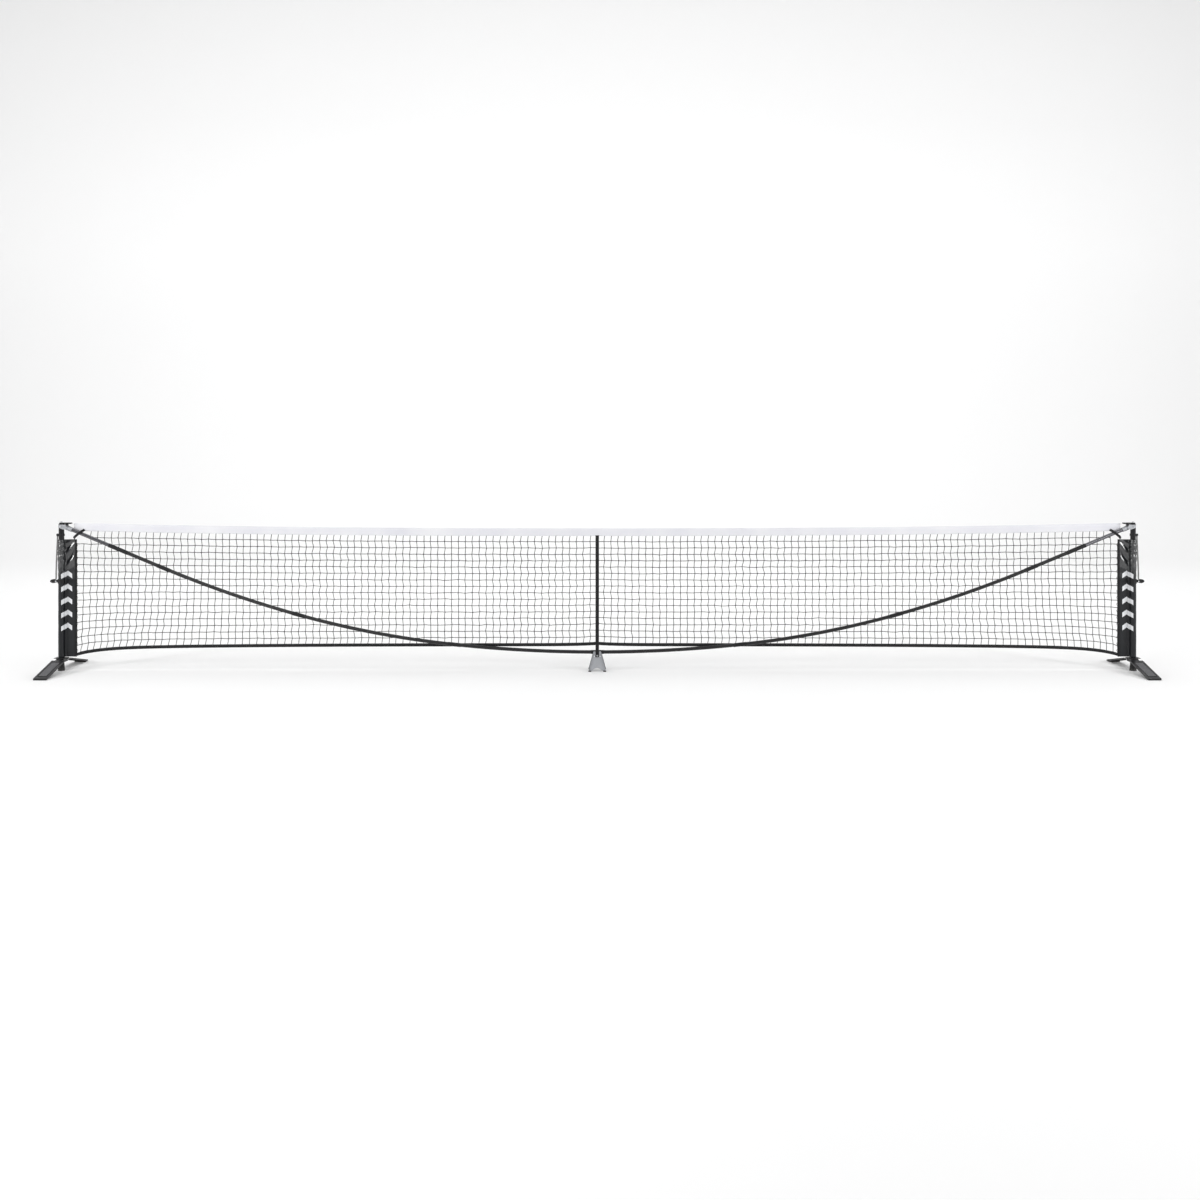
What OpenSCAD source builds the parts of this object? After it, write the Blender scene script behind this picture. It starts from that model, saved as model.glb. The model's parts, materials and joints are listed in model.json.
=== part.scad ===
// Portable court net: two posts on folding plate feet, one long jointed bow that holds
// them apart and rests on a small centre stand, and a net with a folded top tape.
// X runs along the net, -Y is the front, Z is up, and the floor is at Z = 0.

/* [Net] */
// Clear distance between the two posts
inside_span = 6706; // [5000:1:8000]
// Height of the tape's top edge at the posts
tape_end_z = 925; // [900:1:940]
// Height of the tape's top edge at the centre
tape_mid_z = 892; // [860:1:900]
// Depth of the folded top tape
tape_h = 48; // [35:1:60]
// Depth of the folded bottom hem
hem_h = 17; // [12:1:25]
// Height of the hem's middle line at the centre, without the lift of the centre strap
hem_mid_z = 158; // [145:1:170]

/* [Post] */
// Outer diameter of the post tube
post_d = 33; // [30:0.5:36]
// Wall of the post tube
post_wall = 1.5; // [1:0.1:2.5]
// Height of the post tube's top end
post_top_z = 918; // [900:1:920]
// Height of the rubber boot under the post
boot_h = 64; // [55:1:70]
// Diameter of the boot at the floor
boot_base_d = 42; // [38:1:48]
// Diameter of the boot just under the post
boot_neck_d = 29; // [27:0.5:31]

/* [Feet] */
// Width of the foot plate
foot_w = 80; // [70:1:90]
// Length of the foot plate from its pivot to its tip
foot_len = 269; // [240:1:290]
// Height of the foot's pivot
pivot_z = 62; // [60:0.5:64]
// Distance from the post's axis to the foot's pivot
pivot_y = 36; // [36:0.5:38]
// How far the foot slopes down from level, in degrees
foot_slope = 13.5; // [13:0.1:14]

/* [Bow] */
// Outer diameter of the bow's rods
bow_d = 22; // [20:0.5:24]
// Height of the bow's axis at the centre
bow_mid_z = 116; // [110:1:125]
// Length and bend radius of each half's three curved rods, from the centre out
bow_arcs = [[900, 8600], [1000, 6000], [900, 7200]]; // lengths 600 to 1200, radii 5000 to 9000
// Length of the straight rod that follows them
straight_rod_len = 355; // [300:1:400]
// Length of the plated end tube that plugs into the post's bracket
end_tube_len = 315; // [280:5:315]

/* [Sleeve] */
// Height of the fabric sleeve's lower edge
sleeve_low_z = 84; // [82:1:90]
// Height of the fabric sleeve's upper edge
sleeve_top_z = 823; // [800:1:830]
// How far the sleeve reaches inboard from the post's axis
sleeve_reach = 88.5; // [80:0.5:100]

/* [Stand] */
// Height of the centre stand
stand_h = 122; // [118:1:123]
// Width of the stand at its top
stand_top_w = 46; // [45:1:56]
// Width of the stand at the floor
stand_base_w = 108; // [100:1:120]

/* [Hidden] */
$fn = 64;

LEFT = -1;
RIGHT = 1;
gap = 0.3;           // clearance between pieces that only lie beside each other
fit_gap = 0.05;      // radial clearance of a running fit

post_r = post_d / 2;
post_x = inside_span / 2 + post_r;
post_bore_r = post_r - post_wall;
cap_t = 3.5;
arm_low_z = post_top_z + cap_t;
arm_t = 8.5;
arm_w = 18;
arm_reach = 66;      // inboard from the post's axis
arm_back = 12;       // outboard of the post's axis
cross_bolt_z = 906;
cross_bolt_r = 3;
bracket_cheek_t = 2.5;
bracket_cheek_y = post_r + 0.15;
top_screw_r = 3;
top_screw_low_z = post_top_z - 16;
top_screw_x = -6.5;
over = 1;            // how far a cut runs past the face it opens

pin_r = 3;
bracket_ring_r = 20.5;
cheek_in = 20;
cheek_t = 3;
knuckle_eye_r = 8;
flange_z = 78;
plate_t = 3;
plate_rise = 9;      // height of the plate's underside over the pivot
tongue_w = 38;
tongue_end = 10;     // distance from the pivot at which the tongue widens
root_back = 8;       // how far the tongue passes the pivot
lip_h = 7;           // depth of the turned-down edge below the plate

bow_r = bow_d / 2;
bow_bore_r = bow_r - 1.8;
// distances along the straight end of each half, outwards from its last curved rod
bow_end_s = straight_rod_len + end_tube_len;
socket_start = bow_end_s - 50;
button_s = bow_end_s - 40;
coupler_r = bow_r + 1.4;
socket_r = 14.5;
button_r = 3.5;

net_y = 17.8;        // middle of the netting's thickness
net_t = 1.6;
net_end_x = post_x - sleeve_reach - 1.5;
fold_half = 2.5;     // half the thickness of a folded tape
leaf_t = 1.2;        // one layer of a folded tape
tape_end_x = post_x - 72.5;
band_steps = 80;
sleeve_t = 2;
sleeve_r = post_r + gap;

lever_z = 562;
lever_x = 31;        // outboard from the post's axis
lever_pin_r = 2.5;
strap_bottom_z = 574.5;
strap_top_z = 845;
guide_z = 846;
guide_h = 14;
centre_strap_w = 22;

stand_lean = 11;
stand_t = 2.5;
stand_y = 13;        // inner face of a stand plate at its top
pad_h = 6;
bolt_z = 94;
bolt_x = 18;

// ---- places along the bow: a half runs from the centre out to a post ----
function turn_of(i) = bow_arcs[i][0] / bow_arcs[i][1] * 180 / PI;
function angle_at(i) = i == 0 ? 0 : angle_at(i - 1) + turn_of(i - 1);
function centre_of(i) = start_of(i) + bow_arcs[i][1] * [-sin(angle_at(i)), cos(angle_at(i))];
function start_of(i) = i == 0 ? [0, bow_mid_z]
    : centre_of(i - 1) + bow_arcs[i - 1][1] * [sin(angle_at(i)), -cos(angle_at(i))];

// One curved rod of the right half
module bow_arc(i) {
    centre = centre_of(i);
    translate([centre[0], 0, centre[1]])
        rotate([90, 0, 0])
            rotate([0, 0, angle_at(i) - 90])
                rotate_extrude(angle = turn_of(i), $fn = 256)
                    translate([bow_arcs[i][1], 0])
                        difference() {
                            circle(bow_r);
                            circle(bow_bore_r);
                        }
}

module tube(len, r_out, r_in) {
    difference() {
        cylinder(h = len, r = r_out);
        translate([0, 0, -over])
            cylinder(h = len + 2 * over, r = r_in);
    }
}

// The bow's frame where curved rod i begins: Z runs outwards along the bow
module at_bow(i) {
    translate([start_of(i)[0], 0, start_of(i)[1]])
        rotate([0, 90 - angle_at(i), 0])
            children();
}

// The same frame moved a distance along the bow's straight end
module on_straight(along) {
    at_bow(len(bow_arcs))
        translate([0, 0, along])
            children();
}

// A piece drawn for the right side, or its mirror image for the left side
module on_side(side) {
    mirror([side == LEFT ? 1 : 0, 0, 0])
        children();
}

// The right post's frame: Z is the post's axis and X is outboard
module at_post(side) {
    on_side(side)
        translate([post_x, 0, 0])
            children();
}

module both_sides() {
    for (side = [LEFT, RIGHT])
        on_side(side)
            children();
}

module along_x(len, r) {
    rotate([0, 90, 0])
        cylinder(h = len, r = r, center = true);
}

module along_y(len, r) {
    rotate([90, 0, 0])
        cylinder(h = len, r = r, center = true);
}

// A flat outline in X and Z, given its thickness about the Y = 0 plane
module upright(thickness) {
    rotate([90, 0, 0])
        linear_extrude(thickness, center = true)
            children();
}

// A flat outline in Y and Z, given its width about the X = 0 plane
module profile(width) {
    rotate([90, 0, 90])
        linear_extrude(width, center = true)
            children();
}

// ---- posts ----
module post(side) {
    color("#222426")
        at_post(side)
            difference() {
                translate([0, 0, boot_h])
                    cylinder(h = post_top_z - boot_h, r = post_r);
                translate([0, 0, boot_h - over])
                    cylinder(h = post_top_z - boot_h + 2 * over, r = post_bore_r);
                cross_bolt_hole();
            }
}

module cross_bolt_hole() {
    translate([0, 0, cross_bolt_z])
        along_y(60, cross_bolt_r + fit_gap);
}

module post_cap(side) {
    plug_len = 20;
    rim = 0.7;
    color("#151617")
        at_post(side)
            difference() {
                union() {
                    translate([0, 0, post_top_z])
                        cylinder(h = cap_t, r = post_r + rim);
                    translate([0, 0, post_top_z - plug_len])
                        cylinder(h = plug_len, r = post_bore_r - fit_gap);
                }
                cross_bolt_hole();
                translate([0, 0, top_screw_low_z])
                    cylinder(h = 40, r = top_screw_r + fit_gap);
            }
}

module boot(side) {
    stem_h = 26;
    collar_h = 10;
    collar_rim = 1.5;
    rib_w = 3;
    rib_d = 2;
    rib_h = 14;
    skirt_h = 8;
    color("#1a1a1b")
        at_post(side) {
            rotate_extrude()
                polygon([
                    [0, 0], [boot_base_d / 2, 0], [boot_base_d / 2, skirt_h],
                    [boot_neck_d / 2 + collar_rim, boot_h - collar_h],
                    [boot_neck_d / 2, boot_h - 0.6 * collar_h],
                    [boot_neck_d / 2, boot_h - gap], [post_bore_r - gap, boot_h - gap],
                    [post_bore_r - gap, boot_h + stem_h], [0, boot_h + stem_h]
                ]);
            for (turn = [0:45:315])
                rotate([0, 0, turn])
                    translate([boot_base_d / 2 - rib_d, -rib_w / 2, 0])
                        cube([rib_d, rib_w, rib_h]);
        }
}

// ---- folding feet ----
module foot_bracket(side) {
    arm_low = pivot_z - knuckle_eye_r;
    ring_low = arm_low + 4;
    flange_x = 38;
    flange_y = 24;
    color("#2a2c2e")
        at_post(side)
            difference() {
                union() {
                    translate([0, 0, ring_low])
                        cylinder(h = flange_z + plate_t - ring_low, r = bracket_ring_r);
                    translate([-flange_x, -flange_y, flange_z])
                        cube([2 * flange_x, 2 * flange_y, plate_t]);
                    for (x = [-cheek_in - cheek_t / 2, cheek_in + cheek_t / 2])
                        translate([x, 0, 0])
                            foot_cheek(arm_low, ring_low, flange_y);
                }
                translate([0, 0, arm_low])
                    cylinder(h = 40, r = post_r);
                for (y = [-pivot_y, pivot_y])
                    translate([0, y, pivot_z])
                        along_x(80, pin_r + fit_gap);
            }
}

// One side plate of the bracket, with an eye at each end for a hinge pin
module foot_cheek(arm_low, ring_low, flange_y) {
    translate([-cheek_t / 2, -flange_y, ring_low])
        cube([cheek_t, 2 * flange_y, flange_z - ring_low]);
    translate([-cheek_t / 2, -pivot_y, arm_low])
        cube([cheek_t, 2 * pivot_y, 2 * knuckle_eye_r]);
    for (y = [-pivot_y, pivot_y])
        translate([0, y, pivot_z])
            along_x(cheek_t, knuckle_eye_r);
}

// The frame of a foot plate: -Y runs from the pivot to the tip, Z is square to the plate
module at_foot(side, face) {
    at_post(side)
        mirror([0, face == "rear" ? 1 : 0, 0])
            translate([0, -pivot_y, pivot_z])
                rotate([foot_slope, 0, 0])
                    children();
}

module foot(side, face) {
    lip_t = 2.5;
    knuckle_r = 6;
    knuckle_len = 2 * cheek_in - 1;
    web_t = 8;
    tray_w = 56;
    tray_depth = 0.6;
    tray_start = 45;     // from the pivot
    tray_end = 30;       // from the tip
    color("#1f2022")
        at_foot(side, face)
            difference() {
                union() {
                    translate([-foot_w / 2, -foot_len, plate_rise])
                        cube([foot_w, foot_len - tongue_end, plate_t]);
                    translate([-tongue_w / 2, -tongue_end - 1, plate_rise])
                        cube([tongue_w, tongue_end + root_back + 1, plate_t]);
                    for (x = [-foot_w / 2, foot_w / 2 - lip_t])
                        translate([x, -foot_len, plate_rise - lip_h])
                            cube([lip_t, foot_len - tongue_end, lip_h + plate_t]);
                    translate([-foot_w / 2, -foot_len, plate_rise - lip_h])
                        cube([foot_w, lip_t, lip_h + plate_t]);
                    along_x(knuckle_len, knuckle_r);
                    translate([-knuckle_len / 2, -web_t / 2, 0])
                        cube([knuckle_len, web_t, plate_rise + plate_t / 2]);
                }
                along_x(100, pin_r + fit_gap);
                translate([-tray_w / 2, -foot_len + tray_end, plate_rise + plate_t - tray_depth])
                    cube([tray_w, foot_len - tray_start - tray_end, tray_depth + over]);
            }
}

module foot_pad(side, face) {
    tip_y = pivot_y + foot_len * cos(foot_slope) + plate_rise * sin(foot_slope);
    under_tip = pivot_z - foot_len * sin(foot_slope) + plate_rise * cos(foot_slope);
    pad_w = 68;
    pad_l = 26;
    inset = 5;
    front_y = tip_y - inset;
    back_y = front_y - pad_l;
    pad_z = under_tip + inset * tan(foot_slope) - gap;
    color("#141415")
        at_post(side)
            mirror([0, face == "rear" ? 1 : 0, 0])
                profile(pad_w)
                    polygon([
                        [-front_y, 0], [-back_y, 0],
                        [-back_y, pad_z + pad_l * tan(foot_slope)],
                        [-front_y, pad_z]
                    ]);
}

module foot_hinge_pins() {
    pin_len = 2 * (cheek_in + cheek_t) + 1;
    head_t = 2;
    head_r = pin_r + 1.8;
    color("#8d9093")
        both_sides()
            translate([post_x, 0, pivot_z])
                for (y = [-pivot_y, pivot_y])
                    translate([0, y, 0]) {
                        along_x(pin_len, pin_r);
                        for (x = [-1, 1])
                            translate([x * (pin_len + head_t) / 2, 0, 0])
                                along_x(head_t, head_r);
                    }
}

// ---- bow bracket and the arm on top of the post ----
module bow_bracket(side) {
    cheek_mid_y = bracket_cheek_y + bracket_cheek_t / 2;
    block_len = 20;
    block_h = 22;
    color("#b9bcc0") {
        difference() {
            union() {
                at_post(side)
                    for (y = [-cheek_mid_y, cheek_mid_y])
                        translate([0, y, 0])
                            upright(bracket_cheek_t)
                                polygon([
                                    [11, post_top_z], [-31, post_top_z], [-40, 905],
                                    [-37, 889], [-18, 888], [11, 899]
                                ]);
                on_side(side)
                    on_straight(bow_end_s - block_len)
                        translate([-block_h / 2, -cheek_mid_y, 0])
                            cube([block_h, 2 * cheek_mid_y, block_len + 2]);
                on_side(side)
                    on_straight(socket_start)
                        cylinder(h = bow_end_s - socket_start - 4, r = socket_r);
            }
            on_side(side)
                on_straight(socket_start - 1)
                    cylinder(h = 60, r = bow_r + fit_gap);
            at_post(side)
                cylinder(h = 1000, r = post_r + fit_gap);
            at_post(side)
                cross_bolt_hole();
            on_side(side)
                button_hole(20);
        }
    }
}

module top_arm(side) {
    end_inset = 5;
    color("#121314")
        at_post(side)
            difference() {
                union() {
                    translate([-arm_reach + end_inset, -arm_w / 2, arm_low_z])
                        cube([arm_reach + arm_back - 2 * end_inset, arm_w, arm_t]);
                    for (x = [-arm_reach + end_inset, arm_back - end_inset])
                        translate([x, 0, arm_low_z + arm_t / 2])
                            along_y(arm_w, arm_t / 2);
                    upright(arm_w)
                        polygon([
                            [-28, arm_low_z + 1], [-38, arm_low_z + 1],
                            [-44, 912.5], [-37, 915.5]
                        ]);
                }
                translate([top_screw_x, 0, top_screw_low_z])
                    cylinder(h = 60, r = top_screw_r + fit_gap);
            }
}

module bracket_bolts() {
    cheek_out = bracket_cheek_y + bracket_cheek_t;
    head_t = 3.6;
    cross_head_r = 5.5;
    top_head_r = 6.5;
    top_head_h = 7;
    color("#6f7275")
        both_sides()
            translate([post_x, 0, 0]) {
                translate([0, 0, cross_bolt_z]) {
                    along_y(2 * (cheek_out + head_t), cross_bolt_r);
                    for (y = [-1, 1])
                        translate([0, y * (cheek_out + 0.2 + head_t / 2), 0])
                            along_y(head_t, cross_head_r);
                }
                translate([0, 0, arm_low_z + arm_t + 0.1])
                    cylinder(h = top_head_h, r = top_head_r);
            }
}

// ---- spring button that locks the bow's end in its bracket ----
module button_hole(len) {
    on_straight(button_s)
        rotate([90, 0, 0])
            cylinder(h = len, r = button_r + fit_gap);
}

module snap_button(side) {
    tip_out = socket_r + 2.3;
    dome_r = 2.9;
    collar_t = 2;
    collar_start = bow_bore_r - 4.1;
    stem_start = collar_start + collar_t / 2;
    color("#c9ccd0")
        on_side(side)
            on_straight(button_s)
                rotate([90, 0, 0]) {
                    translate([0, 0, stem_start])
                        cylinder(h = tip_out - stem_start + 0.2, r = button_r);
                    translate([0, 0, tip_out])
                        sphere(r = dome_r);
                    translate([0, 0, collar_start])
                        cylinder(h = collar_t, r = button_r + 1.2);
                }
}

// A bent leaf behind each button, drawn as far back as the button's full travel presses it
module button_springs() {
    leaf_w = 5;
    color("#9da1a6")
        both_sides()
            on_straight(button_s)
                rotate([90, 0, 90])
                    linear_extrude(leaf_w, center = true)
                        polygon([
                            [-0.2, -5], [0.6, -5], [1.2, 34], [4.6, 34], [7.4, 4],
                            [8.2, 4], [5.4, 35], [0.4, 35]
                        ]);
}

// ---- strap and lever that keep the net tight ----
module strap_guide(side) {
    ring_t = 3;
    lug_w = 16;
    lug_len = 12;
    color("#17181a")
        at_post(side)
            difference() {
                union() {
                    translate([0, 0, guide_z])
                        cylinder(h = guide_h, r = post_r + ring_t);
                    translate([post_r, -lug_w / 2, guide_z])
                        cube([lug_len, lug_w, guide_h]);
                }
                translate([0, 0, guide_z - over])
                    cylinder(h = guide_h + 2 * over, r = post_r + fit_gap);
            }
}

module tension_strap(side) {
    strap_w = 9;
    strap_t = 3;
    color("#8a8c8c")
        at_post(side)
            upright(strap_t)
                polygon([
                    [post_r + 3.2, strap_top_z], [post_r + 3.2 + strap_w, strap_top_z],
                    [lever_x + 7.5, strap_bottom_z], [lever_x + 7.5 - strap_w, strap_bottom_z]
                ]);
}

module lever_base(side) {
    clamp_r = sleeve_r + sleeve_t + gap;
    clamp_t = 3;
    lug_in = 6.3;
    lug_t = 3;
    color("#141516")
        at_post(side)
            difference() {
                union() {
                    translate([0, 0, lever_z - 14])
                        cylinder(h = 28, r = clamp_r + clamp_t);
                    for (y = [-lug_in - lug_t, lug_in])
                        translate([10, y, lever_z - 8])
                            cube([lever_x - 10, lug_t, 16]);
                    for (y = [-lug_in - lug_t / 2, lug_in + lug_t / 2])
                        translate([lever_x, y, lever_z])
                            along_y(lug_t, 8);
                }
                translate([0, 0, lever_z - 20])
                    cylinder(h = 40, r = clamp_r);
                translate([-30, clamp_r - 6, lever_z - 20])
                    cube([60, 30, 40]);
                translate([lever_x, 0, lever_z])
                    along_y(40, lever_pin_r + fit_gap);
            }
}

module lever(side) {
    lever_w = 12;
    neck_h = 14;
    leaf_x = 17;         // middle of the leaf, outboard of the pivot
    leaf_half_l = 21.5;
    leaf_half_h = 12.5;
    color("#0f1011")
        at_post(side)
            translate([lever_x, 0, lever_z])
                difference() {
                    union() {
                        upright(lever_w) {
                            polygon([
                                for (t = [0:10:350])
                                    [leaf_x + leaf_half_l * sign(cos(t)) * pow(abs(cos(t)), 1.25),
                                     leaf_half_h * sin(t)]
                            ]);
                            translate([0, -neck_h / 2])
                                square([leaf_x, neck_h]);
                        }
                        along_y(lever_w, neck_h / 2 + 0.5);
                    }
                    along_y(40, lever_pin_r + fit_gap);
                }
}

module lever_pins() {
    color("#8d9093")
        both_sides()
            translate([post_x + lever_x, 0, lever_z]) {
                along_y(20, lever_pin_r);
                for (y = [-10.6, 10.6])
                    translate([0, y, 0])
                        along_y(1.6, lever_pin_r + 1.5);
            }
}

// ---- fabric round the posts ----
module sleeve(side) {
    panel_y = sleeve_r + sleeve_t;
    color("#26282a")
        at_post(side)
            translate([0, 0, sleeve_low_z])
                difference() {
                    union() {
                        cylinder(h = sleeve_top_z - sleeve_low_z, r = sleeve_r + sleeve_t);
                        translate([-sleeve_reach, panel_y - sleeve_t, 0])
                            cube([sleeve_reach, sleeve_t, sleeve_top_z - sleeve_low_z]);
                    }
                    translate([0, 0, -over])
                        cylinder(h = sleeve_top_z - sleeve_low_z + 2 * over, r = sleeve_r);
                }
}

// Strap from the sleeve's top corner, round the front of the bow, up to the tape's end
module corner_strap(side) {
    strap_w = 16;
    start = [-71.5, 828];
    rise = 37;
    outline = [
        [0, 15.5], [20, -15], [70, -15], [90, 12],
        [88.4, 13.2], [69, -13], [21, -13], [1.7, 16.6]
    ];
    color("#111213")
        at_post(side)
            translate([start[0], 0, start[1]])
                mirror([1, 0, 0])
                    rotate([0, -rise, 0])
                        linear_extrude(strap_w, center = true)
                            polygon(outline);
}

// ---- bow ----
module bow_end(side) {
    color("#77797c")
        on_side(side)
            difference() {
                on_straight(straight_rod_len)
                    tube(end_tube_len, bow_r, bow_bore_r);
                button_hole(20);
            }
}

module bow_straight(side) {
    color("#131415")
        on_side(side)
            on_straight(0)
                tube(straight_rod_len, bow_r, bow_bore_r);
}

module bow_rod(side, i) {
    color("#131415")
        on_side(side)
            bow_arc(i);
}

module bow_couplers() {
    len_1 = 80;
    len_2 = 130;
    bore_r = bow_r + 0.2;
    color("#0e0f10") {
        both_sides() {
            for (i = [1:len(bow_arcs)])
                at_bow(i)
                    translate([0, 0, -len_1 / 2])
                        tube(len_1, coupler_r, bore_r);
            on_straight(straight_rod_len - len_2 + 15)
                tube(len_2, coupler_r, bore_r);
        }
        at_bow(0)
            translate([0, 0, -len_1 / 2])
                tube(len_1, coupler_r, bore_r);
    }
}

// ---- net ----
function ease(x, at, width) = exp(-abs(x - at) / width);
function tape_z(x) = tape_mid_z + (tape_end_z - tape_mid_z) * pow(abs(x) / tape_end_x, 2.4);
function hem_z(x) = hem_mid_z - 20 * pow(abs(x) / net_end_x, 3)
    - 40 * ease(abs(x), net_end_x, 150) + 9 * ease(x, 0, 120);

// A band of constant depth that follows the tape, from `low` to `high` under the top edge
module tape_band(low, high, end_x) {
    step = 2 * end_x / band_steps;
    polygon(concat(
        [for (i = [0:band_steps]) [-end_x + i * step, tape_z(-end_x + i * step) - low]],
        [for (i = [band_steps:-1:0]) [-end_x + i * step, tape_z(-end_x + i * step) - high]]
    ));
}

module hem_band(low, high, end_x) {
    step = 2 * end_x / band_steps;
    polygon(concat(
        [for (i = [0:band_steps]) [-end_x + i * step, hem_z(-end_x + i * step) + low]],
        [for (i = [band_steps:-1:0]) [-end_x + i * step, hem_z(-end_x + i * step) + high]]
    ));
}

module in_net_plane() {
    translate([0, net_y, 0])
        children();
}

module netting() {
    corner_x = net_end_x - 52;
    step = 2 * net_end_x / band_steps;
    color("#3a3c3d")
        in_net_plane()
            upright(net_t)
                intersection() {
                    polygon(concat(
                        [for (i = [0:band_steps]) [-net_end_x + i * step,
                                                   tape_z(-net_end_x + i * step) - 5]],
                        [for (i = [band_steps:-1:0]) [-net_end_x + i * step,
                                                      hem_z(-net_end_x + i * step) - 6]]
                    ));
                    polygon([
                        [-net_end_x, 0], [net_end_x, 0], [net_end_x, sleeve_top_z],
                        [corner_x, 1000], [-corner_x, 1000], [-net_end_x, sleeve_top_z]
                    ]);
                }
}

module top_tape() {
    color("#f2f2f4")
        in_net_plane()
            difference() {
                upright(2 * fold_half)
                    tape_band(tape_h, 0, tape_end_x);
                upright(2 * (fold_half - leaf_t))
                    tape_band(tape_h + 2, leaf_t, tape_end_x + 1);
            }
}

module tape_cord() {
    color("#d9d9d6")
        in_net_plane()
            upright(2.2)
                tape_band(4.2, 1.8, tape_end_x - 1);
}

module hem() {
    color("#101112")
        in_net_plane()
            difference() {
                upright(2 * fold_half)
                    hem_band(-hem_h / 2, hem_h / 2, net_end_x);
                upright(2 * (fold_half - leaf_t))
                    hem_band(-hem_h / 2 + leaf_t, hem_h, net_end_x + 1);
            }
}

module centre_strap() {
    half_t = 1;
    front_y = net_y - fold_half - half_t - gap;
    color("#141516")
        profile(centre_strap_w)
            polygon([
                [front_y - half_t, 848], [front_y + half_t, 848],
                [front_y + half_t, 150], [-12.8, 128.5], [-16, 122.6], [-22.6, 88],
                [-24.6, 88], [-18, 123.2], [-15.2, 130.2], [front_y - half_t, 152]
            ]);
}

module strap_snap() {
    snap_t = 2.4;
    snap_r = 5;
    color("#d0d2d4")
        translate([0, -24.35, 97])
            rotate([-stand_lean, 0, 0])
                along_y(snap_t, snap_r);
}

// ---- centre stand ----
// A stand plate's frame: origin at its inner top edge, X across, Y outwards, Z up the plate
module at_stand_plate(face) {
    mirror([0, face == "rear" ? 1 : 0, 0])
        translate([0, -stand_y, stand_h])
            rotate([-stand_lean, 0, 0])
                children();
}

module stand_plate(face) {
    drop = (stand_h - pad_h) / cos(stand_lean);
    arch_r = 34;
    arch_rise = 16;
    edge = (stand_base_w - stand_top_w) / 2;
    flange = 9;
    color(face == "front" ? "#a9acb0" : "#3a3c3e")
        difference() {
            at_stand_plate(face)
                union() {
                    translate([0, -stand_t / 2, 0])
                        upright(stand_t)
                            polygon([
                                [-stand_top_w / 2, 0], [stand_top_w / 2, 0],
                                [stand_top_w / 2 + edge, -drop], [-stand_top_w / 2 - edge, -drop]
                            ]);
                    for (x = [-1, 1])
                        translate([0, -flange / 2, 0])
                            upright(flange)
                                polygon([
                                    [x * stand_top_w / 2, 0], [x * (stand_top_w / 2 - 2.5), 0],
                                    [x * (stand_top_w / 2 + edge - 2.5), -drop],
                                    [x * (stand_top_w / 2 + edge), -drop]
                                ]);
                }
            translate([0, 0, pad_h + arch_rise - arch_r])
                along_y(200, arch_r);
            for (x = [-bolt_x, bolt_x])
                translate([x, 0, bolt_z])
                    along_y(200, 2.5 + fit_gap);
        }
}

module stand_saddle() {
    block_w = 44;
    low_z = 84;
    high_z = 118;
    lean = tan(stand_lean);
    inner = stand_y - gap;
    color("#1b1c1d")
        difference() {
            profile(block_w)
                polygon([
                    [-inner - (stand_h - low_z) * lean, low_z],
                    [inner + (stand_h - low_z) * lean, low_z],
                    [inner + (stand_h - high_z) * lean, high_z],
                    [-inner - (stand_h - high_z) * lean, high_z]
                ]);
            translate([0, 0, bow_mid_z + 0.1])
                along_x(100, coupler_r + 0.3);
            translate([-50, -coupler_r - 0.3, bow_mid_z])
                cube([100, 2 * coupler_r + 0.6, 20]);
            for (x = [-bolt_x, bolt_x])
                translate([x, 0, bolt_z])
                    along_y(200, 2.5 + fit_gap);
        }
}

module stand_bolts() {
    bolt_half = 25.5;
    color("#c3c6c9")
        for (x = [-bolt_x, bolt_x])
            translate([x, 0, bolt_z]) {
                along_y(2 * bolt_half, 2.5);
                for (y = [-1, 1])
                    translate([0, y * bolt_half, 0])
                        along_y(4, 4.2);
            }
}

module stand_pads() {
    foot_y = stand_y + (stand_h - pad_h) * tan(stand_lean);
    color("#101011")
        for (x = [-1, 1], y = [-1, 1])
            translate([x * (stand_base_w / 2 - 8), y * (foot_y + 4), pad_h / 2 - gap / 2])
                cube([18, 13, pad_h - gap], center = true);
}

post(LEFT);  // left_post
post(RIGHT);  // right_post
post_cap(LEFT);  // left_post_cap
post_cap(RIGHT);  // right_post_cap
boot(LEFT);  // left_boot
boot(RIGHT);  // right_boot
foot_bracket(LEFT);  // left_foot_bracket
foot_bracket(RIGHT);  // right_foot_bracket
foot(LEFT, "front");  // left_front_foot
foot(RIGHT, "front");  // right_front_foot
foot(LEFT, "rear");  // left_rear_foot
foot(RIGHT, "rear");  // right_rear_foot
foot_pad(LEFT, "front");  // left_front_pad
foot_pad(RIGHT, "front");  // right_front_pad
foot_pad(LEFT, "rear");  // left_rear_pad
foot_pad(RIGHT, "rear");  // right_rear_pad
bow_bracket(LEFT);  // left_bow_bracket
bow_bracket(RIGHT);  // right_bow_bracket
top_arm(LEFT);  // left_top_arm
top_arm(RIGHT);  // right_top_arm
strap_guide(LEFT);  // left_strap_guide
strap_guide(RIGHT);  // right_strap_guide
tension_strap(LEFT);  // left_tension_strap
tension_strap(RIGHT);  // right_tension_strap
lever_base(LEFT);  // left_lever_base
lever_base(RIGHT);  // right_lever_base
lever(LEFT);  // left_lever
lever(RIGHT);  // right_lever
snap_button(LEFT);  // left_snap_button
snap_button(RIGHT);  // right_snap_button
button_springs();
sleeve(LEFT);  // left_sleeve
sleeve(RIGHT);  // right_sleeve
corner_strap(LEFT);  // left_corner_strap
corner_strap(RIGHT);  // right_corner_strap
foot_hinge_pins();
lever_pins();
bracket_bolts();
bow_end(LEFT);  // left_bow_end
bow_end(RIGHT);  // right_bow_end
bow_straight(LEFT);  // left_bow_straight
bow_straight(RIGHT);  // right_bow_straight
bow_rod(LEFT, 2);  // left_bow_outer
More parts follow.
